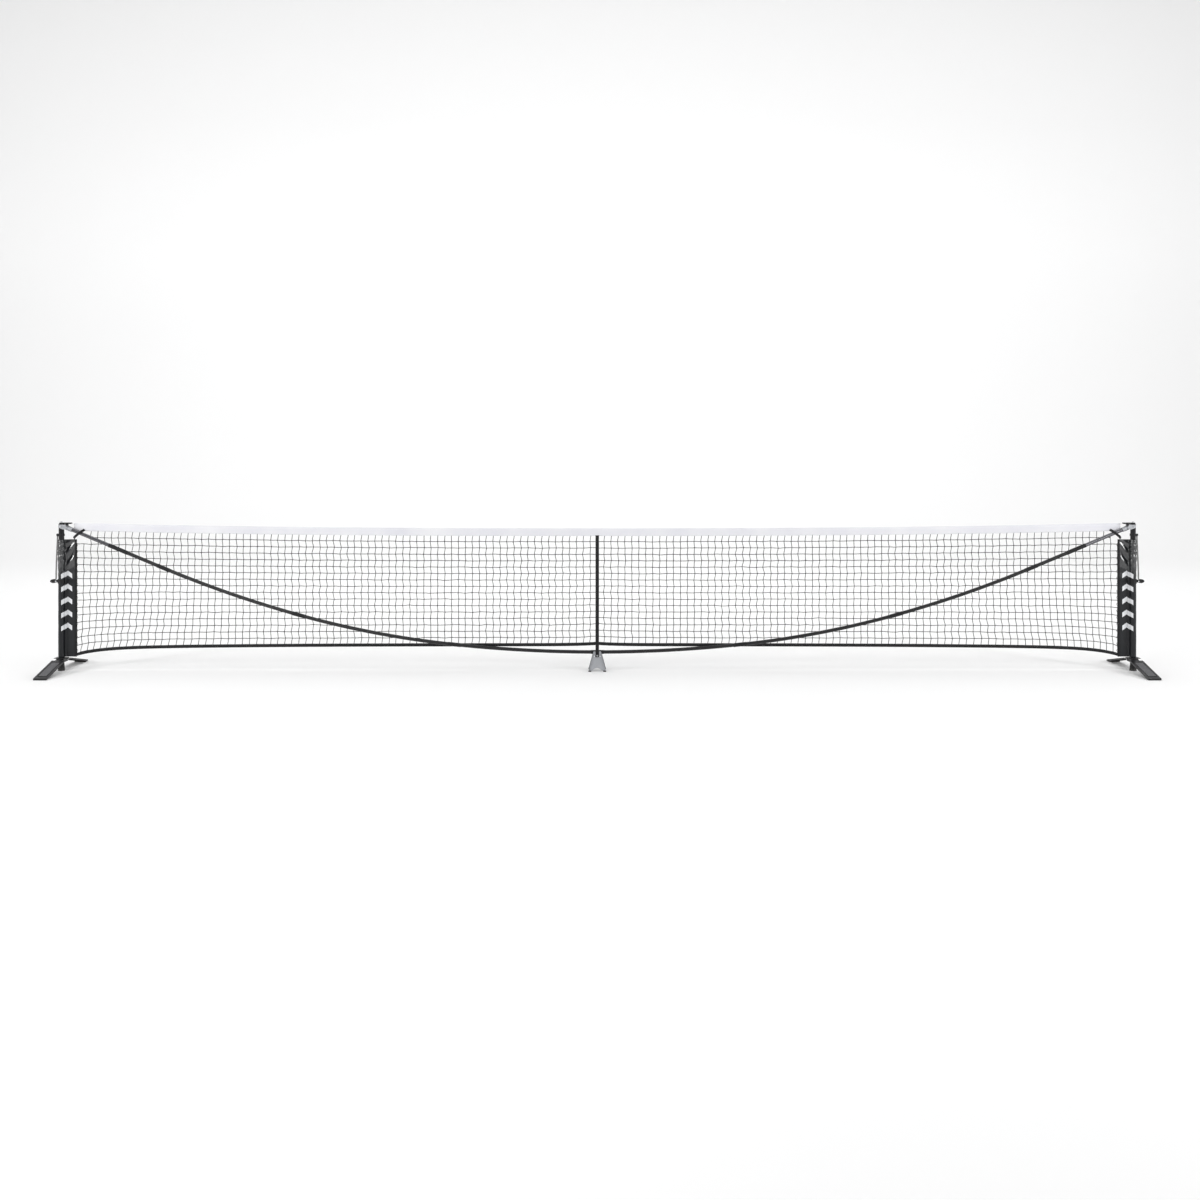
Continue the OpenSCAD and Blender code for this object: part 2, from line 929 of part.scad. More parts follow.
bow_rod(RIGHT, 2);  // right_bow_outer
bow_rod(LEFT, 1);  // left_bow_middle
bow_rod(RIGHT, 1);  // right_bow_middle
bow_rod(LEFT, 0);  // left_bow_inner
bow_rod(RIGHT, 0);  // right_bow_inner
bow_couplers();
netting();
top_tape();
tape_cord();
hem();
centre_strap();
strap_snap();
stand_plate("front");  // stand_front
stand_plate("rear");  // stand_rear
stand_saddle();
stand_bolts();
stand_pads();
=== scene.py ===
import json
import math
import bpy
import numpy as np
from mathutils import Matrix, Vector


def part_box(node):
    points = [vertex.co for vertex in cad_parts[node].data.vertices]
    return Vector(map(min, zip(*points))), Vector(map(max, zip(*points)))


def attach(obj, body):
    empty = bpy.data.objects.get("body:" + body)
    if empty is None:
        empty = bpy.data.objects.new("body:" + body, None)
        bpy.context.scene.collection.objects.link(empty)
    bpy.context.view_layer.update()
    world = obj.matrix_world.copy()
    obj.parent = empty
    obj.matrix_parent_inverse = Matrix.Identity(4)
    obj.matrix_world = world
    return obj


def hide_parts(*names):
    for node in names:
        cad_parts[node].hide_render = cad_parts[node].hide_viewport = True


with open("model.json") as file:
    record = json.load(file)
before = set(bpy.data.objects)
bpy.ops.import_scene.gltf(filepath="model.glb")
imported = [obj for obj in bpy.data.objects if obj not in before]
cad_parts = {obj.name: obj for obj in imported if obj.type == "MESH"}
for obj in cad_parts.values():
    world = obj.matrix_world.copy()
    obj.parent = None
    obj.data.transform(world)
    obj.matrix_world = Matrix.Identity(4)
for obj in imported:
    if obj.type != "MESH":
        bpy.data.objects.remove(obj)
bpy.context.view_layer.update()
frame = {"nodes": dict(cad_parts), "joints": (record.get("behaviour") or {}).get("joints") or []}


# ---- The court and the light it stands in -------------------------------------------
# A bare pale floor that sweeps up behind the net, under one large soft light, with smaller
# ones before the net, beyond its two ends and on the backdrop. The viewer stands before the
# middle of the net and looks just over it.
MM = 0.001
VIEW_DISTANCE = 7.6
EYE_HEIGHT = 1.55
SENSOR = 36.0
IMAGE_SPAN = 7.547      # metres of net plane across the picture

camera = bpy.data.objects.new("camera", bpy.data.cameras.new("camera"))
bpy.context.scene.collection.objects.link(camera)
camera.location = (0.0, -VIEW_DISTANCE, EYE_HEIGHT)
camera.rotation_euler = (math.radians(90), 0, 0)
camera.data.sensor_width = SENSOR
camera.data.lens = SENSOR * VIEW_DISTANCE / IMAGE_SPAN
camera.data.shift_x = 0.0023
camera.data.shift_y = -0.1467
camera.data.clip_end = 200
bpy.context.scene.camera = camera


def soft_light(name, place, aim, size, watts):
    light = bpy.data.objects.new(name, bpy.data.lights.new(name, "AREA"))
    light.data.shape = "RECTANGLE"
    light.data.size, light.data.size_y = size
    light.data.energy = watts
    light.location = place
    light.rotation_euler = (Vector(aim) - Vector(place)).to_track_quat("-Z", "Y").to_euler()
    bpy.context.scene.collection.objects.link(light)


soft_light("top_light", (0.0, -0.5, 6.0), (0, -0.5, 0), (14.0, 8.0), 326)
soft_light("key_light", (-3.0, -6.5, 3.2), (0, 0, 0.4), (1.8, 1.0), 85)
soft_light("fill_light", (4.5, -6.0, 2.6), (0, 0, 0.4), (1.5, 0.9), 50)
soft_light("left_light", (-8.4, -4.6, 2.4), (-3.3, 0, 0.6), (1.4, 1.6), 230)
soft_light("right_light", (8.4, -4.6, 2.4), (3.3, 0, 0.6), (1.4, 1.6), 230)
soft_light("back_light", (0.0, 2.5, 6.5), (0, 10, 3.4), (28.0, 3.0), 570)

studio = bpy.data.worlds.new("studio")
bpy.context.scene.world = studio
studio.use_nodes = True
studio.node_tree.nodes["Background"].inputs["Color"].default_value = (1.0, 1.0, 1.0, 1.0)
studio.node_tree.nodes["Background"].inputs["Strength"].default_value = 0.37
bpy.context.scene.view_settings.view_transform = "Standard"

SWEEP_HALF, SWEEP_BACK, SWEEP_RADIUS, SWEEP_TOP = 45.0, 6.0, 4.0, 30.0
sweep_line = [(-30.0, 0.0)]
for turn in range(0, 91, 5):
    angle = math.radians(turn)
    sweep_line.append((SWEEP_BACK + SWEEP_RADIUS * math.sin(angle),
                       SWEEP_RADIUS * (1 - math.cos(angle))))
sweep_line.append((SWEEP_BACK + SWEEP_RADIUS, SWEEP_TOP))
floor = bpy.data.objects.new("floor", bpy.data.meshes.new("floor"))
floor.data.from_pydata(
    [(side * SWEEP_HALF, y, z) for y, z in sweep_line for side in (-1, 1)],
    [], [(2 * i, 2 * i + 1, 2 * i + 3, 2 * i + 2) for i in range(len(sweep_line) - 1)])
floor.data.shade_smooth()
floor_paint = bpy.data.materials.new("floor_paint")
floor_paint.use_nodes = True
floor_shader = floor_paint.node_tree.nodes["Principled BSDF"]
floor_shader.inputs["Base Color"].default_value = (0.93, 0.93, 0.93, 1)
floor_shader.inputs["Roughness"].default_value = 0.9
floor_shader.inputs["Specular IOR Level"].default_value = 0.1
floor.data.materials.append(floor_paint)
bpy.context.scene.collection.objects.link(floor)


# ---- The posts, the arms on top of them and their caps ------------------------------
# Each post is a steel tube, powder coated black, with a flat arm in the same coat screwed
# on top through a moulded plug. The net's tape hangs between the tips of the two arms.
def new_finish(name, color, roughness, metallic=0.0):
    material = bpy.data.materials.new(name)
    material.use_nodes = True
    shader = material.node_tree.nodes["Principled BSDF"]
    shader.inputs["Base Color"].default_value = (*color, 1)
    shader.inputs["Roughness"].default_value = roughness
    shader.inputs["Metallic"].default_value = metallic
    return material


def shader_of(material):
    return material.node_tree.nodes["Principled BSDF"]


def add(material, kind, **inputs):
    """A new node, with each named input set to a number or joined to another node's output."""
    made = material.node_tree.nodes.new("ShaderNode" + kind)
    for name, value in inputs.items():
        socket = made.inputs[name.replace("_", " ")]
        if isinstance(value, bpy.types.NodeSocket):
            material.node_tree.links.new(value, socket)
        else:
            socket.default_value = value
    return made


def calc(material, operation, *values):
    """The output of a maths node that works on two or three numbers or outputs."""
    made = material.node_tree.nodes.new("ShaderNodeMath")
    made.operation = operation
    for socket, value in zip(made.inputs, values):
        if isinstance(value, bpy.types.NodeSocket):
            material.node_tree.links.new(value, socket)
        else:
            socket.default_value = value
    return made.outputs[0]


def place_in(material):
    """The point's own place in the object, in metres."""
    return add(material, "TexCoord").outputs["Object"]


def stretched(material, scale):
    mapping = add(material, "Mapping", Vector=place_in(material))
    mapping.inputs["Scale"].default_value = scale
    return mapping.outputs["Vector"]


def noise(material, scale, detail=3.0, vector=None):
    vector = vector or place_in(material)
    return add(material, "TexNoise", Scale=scale, Detail=detail, Vector=vector).outputs["Fac"]


def spread(material, value, low, high):
    """A value from 0.3 to 0.7, where most noise lies, brought to a range of its own."""
    ranged = add(material, "MapRange", Value=value)
    ranged.inputs["From Min"].default_value = 0.3
    ranged.inputs["From Max"].default_value = 0.7
    ranged.inputs["To Min"].default_value = low
    ranged.inputs["To Max"].default_value = high
    return ranged.outputs["Result"]


def join(material, output, input_name):
    material.node_tree.links.new(output, shader_of(material).inputs[input_name])


def add_bump(material, height, depth):
    """Raises the surface by depth, in metres, where height is 1."""
    bump = add(material, "Bump", Strength=1.0, Distance=depth, Height=height)
    join(material, bump.outputs["Normal"], "Normal")


def mix_colors(material, share, first, second):
    mixed = add(material, "Mix")
    mixed.data_type = "RGBA"
    material.node_tree.links.new(share, mixed.inputs["Factor"])
    mixed.inputs["A"].default_value = (*first, 1)
    mixed.inputs["B"].default_value = (*second, 1)
    join(material, mixed.outputs["Result"], "Base Color")


def powder_coat(name, color, roughness):
    """Baked powder: a fine orange-peel surface with slightly duller patches."""
    material = new_finish(name, color, roughness)
    join(material, spread(material, noise(material, 14), roughness - 0.07, roughness + 0.1),
         "Roughness")
    add_bump(material, noise(material, 900, 2.0), 0.00004)
    return material


def give(material, *names):
    """Puts one finish on parts of the bare frame."""
    for name in names:
        part = frame["nodes"][name]
        part.data.materials.clear()
        part.data.materials.append(material)


def both(name):
    return f"left_{name}", f"right_{name}"


post_coat = powder_coat("post_coat", (0.006, 0.006, 0.007), 0.3)
shader_of(post_coat).inputs["Specular IOR Level"].default_value = 0.25
shader_of(post_coat).inputs["Coat Weight"].default_value = 0.15
shader_of(post_coat).inputs["Coat Roughness"].default_value = 0.12
give(post_coat, *both("post"), *both("top_arm"))


def moulded(name, color, roughness):
    """Moulded plastic with a fine spark-eroded grain."""
    material = new_finish(name, color, roughness)
    join(material, spread(material, noise(material, 40), roughness - 0.06, roughness + 0.08),
         "Roughness")
    add_bump(material, noise(material, 1500, 4.0), 0.00003)
    return material


black_plastic = moulded("black_plastic", (0.006, 0.006, 0.007), 0.42)
shader_of(black_plastic).inputs["Specular IOR Level"].default_value = 0.3
give(black_plastic, *both("post_cap"), *both("strap_guide"), *both("lever_base"), *both("lever"),
     "bow_couplers", "stand_saddle")


# ---- The bow brackets, bolts, pins and spring buttons -------------------------------
# Bare plated steel: the brackets are cut and welded plate with a brushed face, and the
# bolts, hinge pins and buttons are turned and bright.
def brushed_plate(name, color, roughness, grain):
    material = new_finish(name, color, roughness, 1.0)
    lines = noise(material, 300, 2.0, stretched(material, grain))
    join(material, spread(material, lines, roughness - 0.08, roughness + 0.12), "Roughness")
    add_bump(material, lines, 0.00003)
    return material


bracket_plate = brushed_plate("bracket_plate", (0.40, 0.41, 0.43), 0.36, (0.06, 1.0, 1.0))
give(bracket_plate, *both("bow_bracket"))
turned_steel = brushed_plate("turned_steel", (0.66, 0.67, 0.69), 0.26, (1.0, 0.2, 1.0))
give(turned_steel, "bracket_bolts", "foot_hinge_pins", "lever_pins", "stand_bolts",
     *both("snap_button"), "button_springs", "strap_snap")


# ---- The rubber boots and pads ------------------------------------------------------
# Moulded rubber, matt black and a little dusty where it meets the floor.
def floor_rubber(name, dust_height):
    material = new_finish(name, (0.016, 0.016, 0.016), 0.75)
    height = add(material, "SeparateXYZ", Vector=place_in(material)).outputs["Z"]
    rise = calc(material, "DIVIDE", height, dust_height)
    dust = calc(material, "SUBTRACT", calc(material, "MULTIPLY", noise(material, 60), 1.4), rise)
    mix_colors(material, add(material, "Clamp", Value=dust).outputs[0],
               (0.007, 0.007, 0.007), (0.075, 0.072, 0.068))
    add_bump(material, noise(material, 700, 4.0), 0.0001)
    return material


boot_rubber = floor_rubber("boot_rubber", 0.03)
give(boot_rubber, *both("boot"), *both("front_pad"), *both("rear_pad"), "stand_pads")


# ---- The folding feet ---------------------------------------------------------------
# Pressed steel plates with turned-down edges, coated charcoal and scuffed through use.
# Each has a ribbed grip panel pressed into the shallow tray in its top face.
foot_coat = powder_coat("foot_coat", (0.02, 0.021, 0.023), 0.36)
scuffs = calc(foot_coat, "GREATER_THAN", noise(foot_coat, 90, 8.0), 0.66)
mix_colors(foot_coat, scuffs, (0.010, 0.010, 0.011), (0.05, 0.05, 0.052))
shader_of(foot_coat).inputs["Specular IOR Level"].default_value = 0.35
give(foot_coat, *both("foot_bracket"), *both("front_foot"), *both("rear_foot"))

FOOT_SLOPE = math.radians(13.5)
TRAY_RISE = 11.4 * MM           # the tray's floor, square to the plate, above the pivot
TRAY_START, TRAY_LENGTH, TRAY_WIDTH = 45 * MM, 194 * MM, 56 * MM
GRIP_RIBS = 13

grip_rubber = floor_rubber("grip_rubber", 0.001)
rib_paint = moulded("rib_paint", (0.18, 0.18, 0.19), 0.5)


def new_piece(name, points, faces, *materials, body="net_frame", smooth=True):
    """A mesh piece in the object's own frame, in metres, that rides on one body."""
    mesh = bpy.data.meshes.new(name)
    mesh.from_pydata([tuple(p) for p in points], [], [tuple(f) for f in faces])
    mesh.validate()
    for material in materials:
        mesh.materials.append(material)
    if smooth:
        mesh.shade_smooth()
    piece = bpy.data.objects.new(name, mesh)
    bpy.context.scene.collection.objects.link(piece)
    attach(piece, body)
    return piece


def slab(low, high, chamfer):
    """Points and faces of a flat bar with its upper edges chamfered."""
    (x0, y0, z0), (x1, y1, z1) = low, high
    points = [(x, y, z0) for x, y in ((x0, y0), (x1, y0), (x1, y1), (x0, y1))]
    points += [(x, y, z1 - chamfer) for x, y in ((x0, y0), (x1, y0), (x1, y1), (x0, y1))]
    points += [(x, y, z1) for x, y in ((x0 + chamfer, y0 + chamfer), (x1 - chamfer, y0 + chamfer),
                                       (x1 - chamfer, y1 - chamfer), (x0 + chamfer, y1 - chamfer))]
    faces = [(3, 2, 1, 0), (8, 9, 10, 11)]
    for base in (0, 4):
        faces += [(base + i, base + (i + 1) % 4, base + 4 + (i + 1) % 4, base + 4 + i)
                  for i in range(4)]
    return points, faces


def grip_panel(side, face, pivot):
    sheet_t, rib_t, rib_l, rim = 1.0 * MM, 1.6 * MM, 7 * MM, 4 * MM
    points, faces = slab((-TRAY_WIDTH / 2 + MM, TRAY_START, 0),
                         (TRAY_WIDTH / 2 - MM, TRAY_START + TRAY_LENGTH - 2 * MM, sheet_t), 0.3 * MM)
    pitch = (TRAY_LENGTH - 2 * rim) / GRIP_RIBS
    for i in range(GRIP_RIBS):
        start = TRAY_START + rim + i * pitch
        more, rings = slab((-TRAY_WIDTH / 2 + rim, start, sheet_t - 0.2 * MM),
                           (TRAY_WIDTH / 2 - rim, start + rib_l, rib_t), 0.4 * MM)
        faces += [tuple(len(points) + v for v in ring) for ring in rings]
        points += more
    outward = -1 if face == "front" else 1
    along = Vector((0, outward * math.cos(FOOT_SLOPE), -math.sin(FOOT_SLOPE)))
    up = Vector((0, outward * math.sin(FOOT_SLOPE), math.cos(FOOT_SLOPE)))
    across = along.cross(up)
    placed = [pivot + across * p[0] + along * p[1] + up * (p[2] + TRAY_RISE) for p in points]
    panel = new_piece(f"{side}_{face}_grip", placed, faces, grip_rubber, rib_paint,
                      body=f"{side}_{face}_leg", smooth=False)
    for polygon in panel.data.polygons[10:]:
        polygon.material_index = 1


for joint in frame["joints"]:
    if joint["name"].endswith("_fold"):
        joint_side, joint_face, _ = joint["name"].split("_")
        grip_panel(joint_side, joint_face, Vector(joint["pos_m"]))


# ---- The bow ------------------------------------------------------------------------
# Nine glass-fibre tubes in line, gloss black with the faint spiral of their wrapping. A
# dark plated steel tube plugs each end into the post's bracket.
wrapped_rod = new_finish("wrapped_rod", (0.007, 0.007, 0.008), 0.3)
shader_of(wrapped_rod).inputs["Specular IOR Level"].default_value = 0.35
shader_of(wrapped_rod).inputs["Coat Weight"].default_value = 0.15
shader_of(wrapped_rod).inputs["Coat Roughness"].default_value = 0.2
spiral = add(wrapped_rod, "TexWave", Scale=18.0, Distortion=1.5,
             Vector=stretched(wrapped_rod, (1.0, 2.0, 0.4)))
add_bump(wrapped_rod, spiral.outputs["Fac"], 0.00008)
join(wrapped_rod, spread(wrapped_rod, noise(wrapped_rod, 30), 0.26, 0.38), "Roughness")
give(wrapped_rod, *both("bow_straight"), *both("bow_outer"), *both("bow_middle"), *both("bow_inner"))

dark_plate = brushed_plate("dark_plate", (0.13, 0.13, 0.14), 0.16, (0.03, 1.0, 1.0))
give(dark_plate, *both("bow_end"))


# ---- The centre stand ---------------------------------------------------------------
# Two pressed plates clamp a moulded saddle that the middle of the bow lies in: silver grey in front,
# and behind coloured charcoal as painted shade for the shadow there. Each leg ends in a rubber pad.
silver_coat = powder_coat("silver_coat", (0.36, 0.37, 0.39), 0.4)
shader_of(silver_coat).inputs["Metallic"].default_value = 0.35
give(silver_coat, "stand_front")
# Painted shade: the rear plate is coloured charcoal to stand for the shadow it lies in behind the front
# plate.
rear_plate_painted_shade = powder_coat("rear_plate_painted_shade", (0.03, 0.031, 0.033), 0.45)
give(rear_plate_painted_shade, "stand_rear")


# ---- The netting --------------------------------------------------------------------
# Black twisted polyethylene cord, 4 mm thick, knotted into squares of about 42 mm.
# Its top row follows the tape and its bottom row follows the hem, so the squares stretch.
net_low, net_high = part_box("netting")
net_y = (net_low.y + net_high.y) / 2
tape_low, tape_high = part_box("top_tape")
sleeve_low, sleeve_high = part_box("right_sleeve")
post_low, post_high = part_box("right_post")
POST_X = (post_low.x + post_high.x) / 2
NET_END = net_high.x
TAPE_END = tape_high.x
TAPE_TOP_END, TAPE_TOP_MID = 925 * MM, 892 * MM
TAPE_DEPTH = 48 * MM
SAG_POWER = 2.4                 # the tape is nearly level in the middle, steeper at its ends
HEM_MID = 158 * MM
HEM_DEPTH = 20 * MM
HEM_SAG = 20 * MM
END_DROOP, DROOP_REACH = 40 * MM, 150 * MM      # the hem drops to each sleeve's foot
CENTRE_LIFT, LIFT_REACH = 9 * MM, 120 * MM      # and is held up by the centre strap
CORD_R = 2.0 * MM
COLUMNS, ROWS = 150, 17
ZIGZAG = 2.4                    # mm that knots in odd and even rows stand apart from straight
DRAG = 40 * MM                  # how far the lowest knots are pulled towards the posts
DRAG_FROM_END, DRAG_SPREAD = 0.45, 0.45


def tape_top(x):
    """Height of the tape's fold."""
    return TAPE_TOP_MID + (TAPE_TOP_END - TAPE_TOP_MID) * (np.abs(x) / TAPE_END) ** SAG_POWER


def end_droop(x):
    return END_DROOP * np.exp(-(NET_END - np.abs(x)) / DROOP_REACH)


def hem_middle(x):
    return (HEM_MID - HEM_SAG * (np.abs(x) / NET_END) ** 3 - end_droop(x)
            + CENTRE_LIFT * np.exp(-np.abs(x) / LIFT_REACH))


def net_point(column, row, random_shift):
    """The place of a knot, counted from the left end and from the tape down."""
    x = -NET_END + 2 * NET_END * column / COLUMNS
    top = tape_top(x) - TAPE_DEPTH + 4 * MM
    low = hem_middle(x) + end_droop(x) + HEM_DEPTH / 2 - 5 * MM
    z = top + (low - top) * row / ROWS - end_droop(x) * (row / ROWS) ** 3
    zigzag = np.where(row % 2 == 0, 1.0, -1.0) * (ZIGZAG + np.sin(column * 0.21)) * MM
    from_end = NET_END - np.abs(x)
    drag = DRAG * np.exp(-((from_end - DRAG_FROM_END) / DRAG_SPREAD) ** 2) * (row / ROWS) ** 3
    inside = (column > 0) & (column < COLUMNS)
    x = x + inside * (zigzag + np.sign(x) * drag + random_shift[0])
    z = z + random_shift[1] * ((row > 0) & (row < ROWS))
    return x, z


def tube_rings(path, radius, sides):
    """Rings of points round a path that lies nearly in an upright plane."""
    path = np.asarray(path, float)
    tangent = np.gradient(path, axis=0)
    tangent /= np.linalg.norm(tangent, axis=1)[:, None]
    side_way = np.cross(tangent, (0.0, 1.0, 0.0))
    side_way /= np.linalg.norm(side_way, axis=1)[:, None]
    front_way = np.cross(side_way, tangent)
    turn = np.arange(sides) * 2 * math.pi / sides
    ring = (np.cos(turn)[None, :, None] * side_way[:, None, :]
            + np.sin(turn)[None, :, None] * front_way[:, None, :])
    return (path[:, None, :] + np.asarray(radius).reshape(-1, 1, 1) * ring).reshape(-1, 3)


def tube_faces(rings, sides, first=0):
    faces = [tuple(first + v for v in range(sides - 1, -1, -1))]
    for r in range(rings - 1):
        low, up = first + r * sides, first + (r + 1) * sides
        faces += [(low + i, low + (i + 1) % sides, up + (i + 1) % sides, up + i)
                  for i in range(sides)]
    last = first + (rings - 1) * sides
    faces.append(tuple(last + v for v in range(sides)))
    return faces


def twisted_cord(name, color, pitch):
    """Laid cord: fine slanted strands, a little duller in the grooves."""
    material = new_finish(name, color, 0.5)
    strands = add(material, "TexWave", Scale=0.314 / pitch, Distortion=0.6,
                  Vector=stretched(material, (1.0, 0.6, 1.0)))
    strands.wave_type = "BANDS"
    strands.bands_direction = "DIAGONAL"
    add_bump(material, strands.outputs["Fac"], 0.0003)
    join(material, spread(material, noise(material, 55), 0.42, 0.62), "Roughness")
    return material


net_cord = twisted_cord("net_cord", (0.006, 0.006, 0.007), 2.2 * MM)
shader_of(net_cord).inputs["Specular IOR Level"].default_value = 0.25
chance = np.random.default_rng(7)
column_grid, row_grid = np.meshgrid(np.arange(COLUMNS + 1), np.arange(ROWS + 1), indexing="ij")
knot_shift = chance.normal(0, 1.0 * MM, (2, COLUMNS + 1, ROWS + 1))
knot_x, knot_z = net_point(column_grid, row_grid, knot_shift)
knot_y = net_y + chance.normal(0, 0.5 * MM, knot_x.shape)
corner_free = np.ones_like(knot_x, bool)
corner_free[(np.abs(knot_x) > NET_END - 45 * MM) & (knot_z > sleeve_high.z + 8 * MM)] = False
BETWEEN = 3                     # short lengths of cord from one knot to the next
CORD_WOBBLE = 0.35 * MM
KNOT_SIZE = (4.4 * MM, 2.7 * MM, 2.9 * MM)      # half its length, depth and height
KNOT_LEAN = math.radians(35)

net_points, net_faces = [], []


def lay_cord(xs, ys, zs, sides=6):
    """One cord through its knots, bowing a little to and fro between them."""
    count = len(xs)
    if count < 2:
        return
    steps = np.linspace(0, count - 1, (count - 1) * BETWEEN + 1)
    path = np.stack([np.interp(steps, np.arange(count), v) for v in (xs, ys, zs)], axis=1)
    mid = np.abs((steps % 1) - 0.5) < 0.4
    path[:, 0] += mid * chance.normal(0, CORD_WOBBLE, len(steps))
    path[:, 2] += mid * chance.normal(0, CORD_WOBBLE, len(steps))
    first = sum(len(block) for block in net_points)
    net_points.append(tube_rings(path, CORD_R, sides))
    net_faces.extend(tube_faces(len(path), sides, first))


for r in range(1, ROWS + 1):
    keep = corner_free[:, r]
    lay_cord(knot_x[keep, r], knot_y[keep, r], knot_z[keep, r])
for c in range(COLUMNS + 1):
    keep = corner_free[c]
    lay_cord(knot_x[c, keep], knot_y[c, keep], knot_z[c, keep])


def knot_lump():
    """A sheet-bend knot: a squat lump that leans across the crossing."""
    rings = [(-1.0, 0.0), (-0.7, 0.75), (0.0, 1.0), (0.7, 0.75), (1.0, 0.0)]
    sides = 6
    points = [(rings[0][0], 0.0, 0.0)]
    for along, wide in rings[1:-1]:
        points += [(along, wide * math.cos(t), wide * math.sin(t))
                   for t in (i * 2 * math.pi / sides for i in range(sides))]
    points.append((1.0, 0.0, 0.0))
    faces = [(0, 1 + (i + 1) % sides, 1 + i) for i in range(sides)]
    for ring in range(2):
        low, up = 1 + ring * sides, 1 + (ring + 1) * sides
        faces += [(low + i, low + (i + 1) % sides, up + (i + 1) % sides, up + i)
                  for i in range(sides)]
    last = 1 + 3 * sides
    faces += [(last, last - sides + i, last - sides + (i + 1) % sides) for i in range(sides)]
    return np.array(points), faces


lump, lump_faces = knot_lump()
lump = lump * KNOT_SIZE
first = sum(len(block) for block in net_points)
for c in range(COLUMNS + 1):
    for r in range(1, ROWS + 1):
        if corner_free[c, r]:
            lean = KNOT_LEAN * (1 if (c + r) % 2 else -1) + chance.normal(0, 0.15)
            turned = lump @ np.array(Matrix.Rotation(lean, 3, "Y")).T
            net_points.append(turned + (knot_x[c, r], knot_y[c, r], knot_z[c, r]))
            net_faces.extend(tuple(first + v for v in face) for face in lump_faces)
            first += len(lump)

netting = new_piece("knotted_net", np.concatenate(net_points), net_faces, net_cord)
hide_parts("netting")


# ---- The top tape -------------------------------------------------------------------
# White woven polyester, folded over the top cord and the net's first row and sewn with
# two rows of white thread. It puckers a little at the stitching and sags to the centre.
def woven(name, color, roughness, thread, depth, sheen=0.3):
    """Plain weave: two sets of fine ridges, and a sheen."""
    material = new_finish(name, color, roughness)
    shader_of(material).inputs["Sheen Weight"].default_value = sheen
    shader_of(material).inputs["Sheen Roughness"].default_value = 0.4
    ridges = []
    for direction in ("X", "Z"):
        wave = add(material, "TexWave", Scale=0.314 / thread, Vector=place_in(material))
        wave.bands_direction = direction
        ridges.append(wave.outputs["Fac"])
    add_bump(material, calc(material, "MAXIMUM", *ridges), depth)
    return material


white_tape = woven("white_tape", (0.75, 0.75, 0.78), 0.65, 0.9 * MM, 0.00012)
mix_colors(white_tape, spread(white_tape, noise(white_tape, 3.5), 0.0, 1.0),
           (0.63, 0.63, 0.68), (0.73, 0.73, 0.75))
white_thread = twisted_cord("white_thread", (0.85, 0.85, 0.85), 0.5 * MM)


def folded_section(depth, half, cloth):
    """Closed outline of a strip folded over an edge at height 0, as (across, height)."""
    bead = [(half * math.cos(t), half * math.sin(t) - half)
            for t in np.linspace(math.pi, 0, 9)]
    down = np.linspace(-half, -depth, 8)[1:]
    outer = [(-half, z) for z in down[::-1]] + bead + [(half, z) for z in down]
    inner_half = half - cloth
    inner_bead = [(inner_half * math.cos(t), inner_half * math.sin(t) - half)
                  for t in np.linspace(0, math.pi, 7)]
    inner = [(inner_half, z) for z in down[::-1]] + inner_bead + [(-inner_half, z) for z in down]
    return np.array(outer + inner)


def pucker(x, z, seed):
    """How far sewn cloth stands off its flat place, in metres."""
    slow = np.sin(x * 5.1 + seed) * np.sin(x * 13.7 + 2.3 * seed + z * 9)
    sewn = np.sin(x * 2 * math.pi / 0.026 + 3 * np.sin(x * 1.7 + seed))
    return slow * 0.9 * MM + sewn * 0.28 * MM


def folded_band(name, xs, edge, section, direction, materials, seed):
    """A folded strip that follows an edge, hanging down from it or standing up over it."""
    count = len(section)
    points = []
    for x in xs:
        free = np.clip(-section[:, 1] / np.abs(section[:, 1]).max(), 0, 1)
        across = section[:, 0] + pucker(x, section[:, 1], seed) * free
        height = edge(x) + direction * section[:, 1]
        points.append(np.stack([np.full(count, x), net_y + across, height], axis=1))
    faces = tube_faces(len(xs), count)
    return new_piece(name, np.concatenate(points), faces, *materials)


STITCH_PITCH = 7 * MM
STITCH_LENGTH = 4.6 * MM


def sew(name, places, along, out, thread):
    """A row of stitches lying on cloth: their middles, the way they run and the way out."""
    outline = [(-0.5, 0), (-0.3, 1), (0.3, 1), (0.5, 0)]
    block = [(0, 1, 3, 2), (2, 3, 5, 4), (4, 5, 7, 6), (0, 2, 4, 6), (1, 7, 5, 3), (0, 6, 7, 1)]
    half_w, high = 0.45 * MM, 0.35 * MM
    points, faces = [], []
    for place, way, face_way in zip(places, along, out):
        place, way, face_way = Vector(place), Vector(way).normalized(), Vector(face_way)
        across = face_way.cross(way)
        first = len(points)
        for step, lift in outline:
            for side_step in (-half_w, half_w):
                points.append(place + way * (step * STITCH_LENGTH) + across * side_step
                              + face_way * (lift * high - 0.1 * MM))
        faces += [tuple(first + v for v in face) for face in block]
    row = new_piece(name, points, faces, thread, smooth=False)
    return row


def sew_band(name, xs, edge, offset, half, direction, thread, seed):
    """Stitches along both faces of a folded strip, at a distance in from its fold."""
    places, along, out = [], [], []
    for x in np.arange(xs[0] + STITCH_PITCH, xs[-1] - STITCH_PITCH, STITCH_PITCH):
        slope = (edge(x + MM) - edge(x - MM)) / (2 * MM)
        bulge = pucker(x, -offset, seed) * min(1.0, offset / (offset + 2 * MM))
        for face_side in (-1, 1):
            places.append((x, net_y + bulge + face_side * half, edge(x) - direction * offset))
            along.append((1, 0, slope))
            out.append((0, face_side, 0))
    return sew(name, places, along, out, thread)


